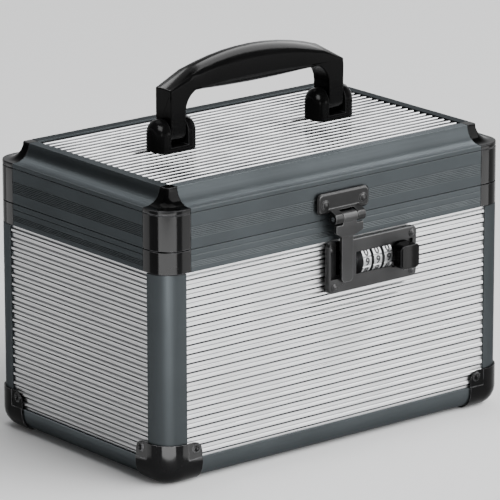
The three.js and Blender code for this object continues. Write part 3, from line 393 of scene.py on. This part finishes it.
def place_in_pitch(tree, place, bead_axis, bead_middle):
    """How far a point lies between two valleys, from 0 to 1, with a slightly ragged line."""
    along = wire(tree, "SeparateXYZ", {"Vector": place}).outputs[bead_axis]
    wobble = between(tree, grain(tree, 60, detail=3), -bead_wobble, bead_wobble)
    ragged = work_out(tree, "ADD", along, wobble)
    lifted = work_out(tree, "ADD", ragged, bead_pitch / 2 - bead_middle)
    within = work_out(tree, "WRAP", lifted, bead_pitch, 0)
    return work_out(tree, "DIVIDE", within, bead_pitch)


def behind(tree, place, under):
    """Where the sheet lies under a plate, up to 1 mm from the plate's outline."""
    low_corner, high_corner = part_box(under)
    centre, half = (low_corner + high_corner) / 2, (high_corner - low_corner) / 2
    aside = wire(tree, "VectorMath", {0: place, 1: centre}, operation="SUBTRACT")
    spans = wire(tree, "VectorMath", {0: aside.outputs["Vector"]}, operation="ABSOLUTE")
    reach = wire(tree, "SeparateXYZ", {"Vector": spans.outputs["Vector"]})
    inside_x = work_out(tree, "LESS_THAN", reach.outputs["X"], half.x - mm)
    inside_z = work_out(tree, "LESS_THAN", reach.outputs["Z"], half.z - mm)
    return work_out(tree, "MULTIPLY", inside_x, inside_z)


def rolled_sheet(name, stretch, bead_axis, bead_middle, stops, gloss, under="", painted_side_shade=0.0):
    """Stops give the colours across one pitch, from the valley below a bead to the one above:
    painted shadow, highlight and shade that follow each bead. The gloss runs from the smoothest
    to the roughest. Where a piece is named in under, the sheet behind it is painted black as
    shade, and a share for the sides darkens the whole sheet as painted shade."""
    smoothest, roughest = gloss
    material, tree, shader = finish(name, smoothest)
    place = wire(tree, "TexCoord").outputs["Object"]
    # Painted shadow, highlight and shade laid across each pitch of beads
    painted_bead_light = tint(tree, place_in_pitch(tree, place, bead_axis, bead_middle), stops)
    clouds = between(tree, grain(tree, 30), 0, 0.3)
    brushed = grain(tree, stretch, detail=5)
    colour = blend_colours(tree, clouds, painted_bead_light, worn_sheet)
    if under:
        # Paints the sheet black behind the plate, as shade
        colour = blend_colours(tree, behind(tree, place, under), colour, painted_shade_behind_plate)
    # Darkens the whole sheet as painted shade, for the side panels
    if painted_side_shade:
        colour = blend_colours(tree, painted_side_shade, colour, painted_shadow_sheet)
    lay_on(tree, shader, colour, between(tree, brushed, smoothest, roughest))
    tree.links.new(colour, shader.inputs["Specular Tint"])
    relief(tree, shader, brushed, depth=0.02 * mm, strength=roughest)
    return material


# Across each pitch of a wall panel: painted shadow under the bead, a painted highlight on its
# upper flank and painted shade at its upper root
wall_painted_light_bands = [
    (0.14, clean_sheet), (0.17, painted_shadow_sheet), (0.38, painted_shadow_sheet), (0.41, clean_sheet),
    (0.58, clean_sheet), (0.63, painted_highlight_sheet), (0.72, painted_highlight_sheet), (0.745, painted_shade_sheet),
    (0.8, painted_shade_sheet), (0.84, clean_sheet),
]
# Across each pitch of the lid panel: painted shadow below the bead and painted shade at its upper
# root
lid_painted_light_bands = [
    (0.12, clean_sheet), (0.18, painted_shadow_sheet), (0.31, painted_shadow_sheet), (0.37, clean_sheet),
    (0.7, clean_sheet), (0.74, painted_shade_sheet), (0.84, painted_shade_sheet), (0.88, clean_sheet),
]
rolled_x, rolled_y = (18, 2600, 2600), (2600, 18, 2600)
wall_beads = ("Z", wall_bead_height, wall_painted_light_bands)
lid_beads = ("Y", lid_bead_place, lid_painted_light_bands)
satin, polished = (0.24, 0.4), (0.13, 0.24)
front_sheet = rolled_sheet("rolled_front_sheet", rolled_x, *wall_beads, satin, "lock_plate")
back_sheet = rolled_sheet("rolled_back_sheet", rolled_x, *wall_beads, satin)
# The side panels are painted darker all over, as shade
side_sheet = rolled_sheet("rolled_side_sheet", rolled_y, *wall_beads, satin, painted_side_shade=0.24)
lid_sheet = rolled_sheet("rolled_lid_sheet", rolled_x, *lid_beads, polished)
dress(["front_panel"], front_sheet, edge=0)
dress(["back_panel"], back_sheet, edge=0)
dress(["left_panel", "right_panel"], side_sheet, edge=0)
dress(["lid_panel"], lid_sheet, edge=0)

# Edge rails, rims, posts and lid rails
# Extruded aluminium, anodised in slate. Die lines run along each length, the satin finish
# is a little cloudy, and the narrow faces are lighter: the corners of the section are rubbed
# brighter, and the fine grooves are painted lighter to lift the shade that falls in them.


def broken_edges(tree):
    return wire(tree, "Attribute", attribute_name="broken_edge").outputs["Fac"]


def rubbed(tree, colour, bright, patches, least, most):
    """Brightens the broken edges in patches, so many to the metre, by a least and a most."""
    patchy = between(tree, grain(tree, patches, detail=3), least, most)
    wear = work_out(tree, "MULTIPLY", broken_edges(tree), patchy)
    return blend_colours(tree, wear, colour, bright)


def slate_anodised(name, stretch):
    sheen = (0.35, 0.36, 0.37, 1)
    dark_slate, pale_slate = (0.043, 0.049, 0.052, 1), (0.053, 0.06, 0.064, 1)
    # Rubbed wear on the section's corners, and painted light that lifts the shade in its fine
    # grooves
    rubbed_and_lit_slate = (0.065, 0.072, 0.075, 1)
    material, tree, shader = finish(name, roughness=0.4, metallic=0.75, Specular_Tint=sheen)
    die_lines = grain(tree, stretch)
    clouds = grain(tree, 24, detail=5)
    slate = mottled(tree, clouds, dark_slate, pale_slate)
    worn = rubbed(tree, slate, rubbed_and_lit_slate, patches=160, least=0.3, most=0.9)
    lay_on(tree, shader, worn, between(tree, die_lines, 0.34, 0.48))
    relief(tree, shader, die_lines, depth=0.015 * mm, strength=0.45)
    return material


slate_x = slate_anodised("slate_anodised_along_x", (14, 2200, 2200))
slate_y = slate_anodised("slate_anodised_along_y", (2200, 14, 2200))
slate_z = slate_anodised("slate_anodised_along_z", (2200, 2200, 14))
for side in sides:
    slate = slate_x if side in ("front", "back") else slate_y
    dress(["bottom_rail_" + side, "rim_" + side, "lid_rail_" + side], slate, edge=0.12)
dress(posts, slate_z, edge=0.2)

# Rim corner blocks and lid corner castings
# Die-cast zinc under a glossy black coat. The coat pulls into a faint orange peel and is
# thin on the lips, where it shows a brighter line.


def grey(level, blue=1.0):
    """A grey of a level, made a little bluer by a blue above 1."""
    return (level, level, level * blue, 1)


def black_coat(name, base, roughness, peel, bright):
    """The peel is the depth of the coat's waves, in mm."""
    material, tree, shader = finish(name, roughness, metallic=0.0, Specular_IOR_Level=0.05)
    skin = grain(tree, 420, detail=3)
    clouds = grain(tree, 60)
    dark, pale = grey(base, blue=1.04), grey(base * 1.5, blue=1.04)
    coat = mottled(tree, clouds, dark, pale, palest=0.75)
    worn = rubbed(tree, coat, bright, patches=220, least=0.0, most=0.7)
    lay_on(tree, shader, worn, between(tree, clouds, roughness * 0.8, roughness * 1.5))
    relief(tree, shader, skin, depth=peel * mm, strength=0.35)
    return material


casting_black = black_coat(
    "black_coated_casting", base=0.001, roughness=0.12, peel=0.008, bright=grey(0.05, blue=1.04)
)
dress(rim_blocks, casting_black, edge=0.25)
dress(lid_castings, casting_black, edge=0.25)

# Corner guards
# Pressed steel shells at the bottom corners, black plated and polished, each held by a
# rivet through either tab. Their edges are rubbed a little brighter.
thin_plating = (0.06, 0.06, 0.062, 1)
pressing_black = black_coat(
    "black_plated_pressing", base=0.0012, roughness=0.1, peel=0.01, bright=thin_plating
)
dress(guards, pressing_black, edge=0.2)

# Floor board and linings
# The floor is dark hardboard, and both linings are moulded from closed-cell foam with a
# fine pebbled skin. They are dry and matt, with paler dust on the high spots.


def dry_sheet(name, dark, pale, pebbles, depth, sheen=0.0):
    """So many pebbles to the metre, with a depth in mm, dark between them and dusty on top."""
    dry = {"Sheen_Weight": sheen, "Specular_IOR_Level": 0.25}
    material, tree, shader = finish(name, roughness=0.9, metallic=0.0, **dry)
    skin = grain(tree, pebbles, detail=6)
    patches = grain(tree, 35)
    dusty = work_out(tree, "ADD", skin, between(tree, patches, -0.15, 0.15))
    lay_on(tree, shader, mottled(tree, dusty, dark, pale), between(tree, patches, 0.82, 0.96))
    relief(tree, shader, skin, depth=depth * mm, strength=0.7)
    return material


dark_board, pale_board = (0.018, 0.015, 0.012, 1), (0.045, 0.038, 0.03, 1)
dark_foam, pale_foam = (0.014, 0.014, 0.016, 1), (0.04, 0.04, 0.044, 1)
hardboard = dry_sheet("hardboard", dark_board, pale_board, pebbles=900, depth=0.05)
pebbled_foam = dry_sheet(
    "pebbled_foam", dark_foam, pale_foam, pebbles=1400, depth=0.08, sheen=0.3
)
dress(["bottom_panel"], hardboard, edge=0.3)
dress(["case_lining", "lid_lining"], pebbled_foam, edge=0.4)

# Handle brackets, pins and grip
# The saddles and the bail grip are moulded in glossy black plastic, with faint flow marks
# and fine hair scratches. Ground steel pins hold the legs in the saddles.


def glossy_plastic(name, base, gleam):
    """The gleam is how strongly the plastic mirrors what stands in front of it."""
    roughness, scuffed = 0.18, grey(0.05, blue=1.04)
    material, tree, shader = finish(name, roughness, metallic=0.0, Specular_IOR_Level=gleam)
    flow = grain(tree, (45, 90, 45))
    hairs = grain(tree, (90, 1500, 900), detail=5)
    moulded = mottled(tree, flow, grey(base), grey(base * 1.6, blue=1.03))
    wear = between(tree, broken_edges(tree), 0, 0.3, start=0, stop=1)
    worn = blend_colours(tree, wear, moulded, scuffed)
    clouds, scratches = between(tree, flow, -0.04, 0.06), between(tree, hairs, 0.9, 1.25)
    marks = work_out(tree, "ADD", clouds, scratches)
    lay_on(tree, shader, worn, work_out(tree, "MULTIPLY", marks, roughness))
    relief(tree, shader, hairs, depth=0.006 * mm, strength=0.3)
    return material


def bare_steel(name, colour, gloss, stretch):
    """Steel with stains and fine lines. The gloss runs from the smoothest to the roughest."""
    smoothest, roughest = gloss
    material, tree, shader = finish(name, smoothest)
    lines = grain(tree, stretch)
    stained = tuple(part * 0.72 for part in colour[:3]) + (1,)
    steel = mottled(tree, grain(tree, 120), stained, colour)
    lay_on(tree, shader, steel, between(tree, lines, smoothest, roughest))
    relief(tree, shader, lines, depth=0.01 * mm, strength=0.4)
    return material


grip_black = glossy_plastic("glossy_black_grip", base=0.0012, gleam=0.06)
handle_black = glossy_plastic("glossy_black_plastic", base=0.0012, gleam=0.05)
steel_grey = (0.62, 0.62, 0.63, 1)
ground_steel = bare_steel("ground_steel", steel_grey, gloss=(0.22, 0.36), stretch=(60, 2400, 2400))
dress(["handle_grip"], grip_black, edge=0.5, steps=3, limit=50, merge=0)
dress(brackets, handle_black, edge=0.35)
dress(["handle_pin_left", "handle_pin_right"], ground_steel, edge=0.2)

# Hasp
# The cast strike is riveted to the lid, and the leaf swings on a pin between its knuckles.
# Both are zinc alloy in dark gunmetal plating, which is brighter along every edge.


def gunmetal(name, base, bright, roughness=0.36):
    """The base and the bright are the grey levels of the plating and of its rubbed edges."""
    material, tree, shader = finish(name, roughness, metallic=0.7)
    clouds = grain(tree, 90, detail=5)
    pits = grain(tree, 900)
    plating = mottled(tree, clouds, grey(base, blue=1.02), grey(base * 1.35, blue=1.02))
    worn = rubbed(tree, plating, grey(bright), patches=240, least=0.35, most=1.0)
    lay_on(tree, shader, worn, between(tree, pits, roughness * 0.85, roughness * 1.25))
    relief(tree, shader, pits, depth=0.012 * mm, strength=0.4)
    return material


plated_zinc = gunmetal("gunmetal_plated_zinc", base=0.022, bright=0.1)
strike_zinc = gunmetal("gunmetal_cast_strike", base=0.008, bright=0.07)
dress(["hasp_strike"], strike_zinc, edge=0.3)
dress(["hasp_leaf"], plated_zinc, edge=0.3)
dress(["hasp_pin"], ground_steel, edge=0.15)

# Combination lock body
# The face plate is die-cast zinc in the same gunmetal plating, held by four rivets. Behind
# it sit the black housing, the bolt, the fixed spindle and the comb of click springs.
lock_inside = gunmetal("lock_inside_plating", base=0.008, bright=0.05, roughness=0.42)
dress(["lock_plate"], plated_zinc, edge=0.2, merge=0)
dress(["lock_housing"], lock_inside, edge=0.2)
dress(["lock_bolt"], lock_inside, edge=0.1)
dress(["dial_spindle", "detent_comb"], ground_steel, edge=0.1)

# Dials
# Three satin chrome wheels, each with ten flats that carry the numerals 0 to 9 in black
# paint. The flats are parted by shallow notches for the fingertip.
dial_radius = 8 * mm
flats_on_dial = 10
numeral_height = 4.3 * mm
numeral_lift = 0.03 * mm
numeral_boldness = 0.045
numeral_slices = 10
satin_grey = (0.42, 0.425, 0.43, 1)
dial_satin = bare_steel("satin_dial_plating", satin_grey, gloss=(0.36, 0.46), stretch=900)
wet_black, dry_black = (0.006, 0.006, 0.007, 1), (0.016, 0.016, 0.018, 1)
numeral_paint, paint_tree, paint_shader = finish("numeral_paint", roughness=0.5, metallic=0.0)
paint_grain = grain(paint_tree, 2000)
paint_colour = mottled(paint_tree, paint_grain, wet_black, dry_black)
lay_on(paint_tree, paint_shader, paint_colour, between(paint_tree, paint_grain, 0.4, 0.6))
relief(paint_tree, paint_shader, paint_grain, depth=0.01 * mm, strength=0.4)
dress(["dial_1", "dial_2", "dial_3"], dial_satin, edge=0.12)


def numeral_shape(digit):
    """A numeral as a flat mesh, drawn in outline and sliced finely enough to bend."""
    text = bpy.data.curves.new("numeral", "FONT")
    text.body = str(digit)
    text.align_x, text.align_y = "CENTER", "CENTER"
    text.offset = numeral_boldness
    text.resolution_u = 6
    holder = bpy.data.objects.new("numeral", text)
    bpy.context.collection.objects.link(holder)
    drawn = bmesh.new()
    drawn.from_mesh(holder.evaluated_get(bpy.context.evaluated_depsgraph_get()).to_mesh())
    bpy.data.objects.remove(holder)
    tall = [vertex.co.y for vertex in drawn.verts]
    wide = [vertex.co.x for vertex in drawn.verts]
    scale = numeral_height / (max(tall) - min(tall))
    middle = Vector(((max(wide) + min(wide)) / 2, (max(tall) + min(tall)) / 2, 0))
    for vertex in drawn.verts:
        vertex.co = (vertex.co - middle) * scale
    for cut in range(numeral_slices + 1):
        level = (cut / numeral_slices - 0.5) * numeral_height
        everything = drawn.verts[:] + drawn.edges[:] + drawn.faces[:]
        bmesh.ops.bisect_plane(drawn, geom=everything, plane_co=(0, level, 0), plane_no=(0, 1, 0))
    return drawn


for number in (1, 2, 3):
    low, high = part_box(f"dial_{number}")
    middle = (low + high) / 2
    out = dial_radius + numeral_lift
    ring = bmesh.new()
    for digit in range(flats_on_dial):
        turn = math.tau / flats_on_dial * (digit + 1)
        drawn = numeral_shape(digit)
        for vertex in drawn.verts:
            angle = turn + vertex.co.y / dial_radius
            ahead, above = -out * math.cos(angle), out * math.sin(angle)
            vertex.co = middle + Vector((vertex.co.x, ahead, above))
        one = bpy.data.meshes.new("numeral")
        drawn.to_mesh(one)
        ring.from_mesh(one)
        bpy.data.meshes.remove(one)
        drawn.free()
    numerals = bpy.data.meshes.new(f"dial_{number}_numerals")
    ring.to_mesh(numerals)
    numerals.materials.append(numeral_paint)
    painted = bpy.data.objects.new(f"dial_{number}_numerals", numerals)
    bpy.context.collection.objects.link(painted)
    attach(painted, f"dial_{number}_wheel")

# Slider knob
# A convex cap of glossy black plastic on a square neck, which is fixed to the bolt and
# slides in the recess of the face plate.
dress(["slider_knob"], handle_black, edge=0.4, steps=3)

# Rear hinges
# Two butt hinges of black plated steel on the back of the case. Each has three knuckles and
# turns on a plain ground pin.
hinge_steel = gunmetal("black_plated_hinge_steel", base=0.014, bright=0.08, roughness=0.34)
for side in ("left", "right"):
    dress(["hinge_case_leaf_" + side, "hinge_lid_leaf_" + side], hinge_steel, edge=0.2)
    dress(["hinge_pin_" + side], ground_steel, edge=0.15)
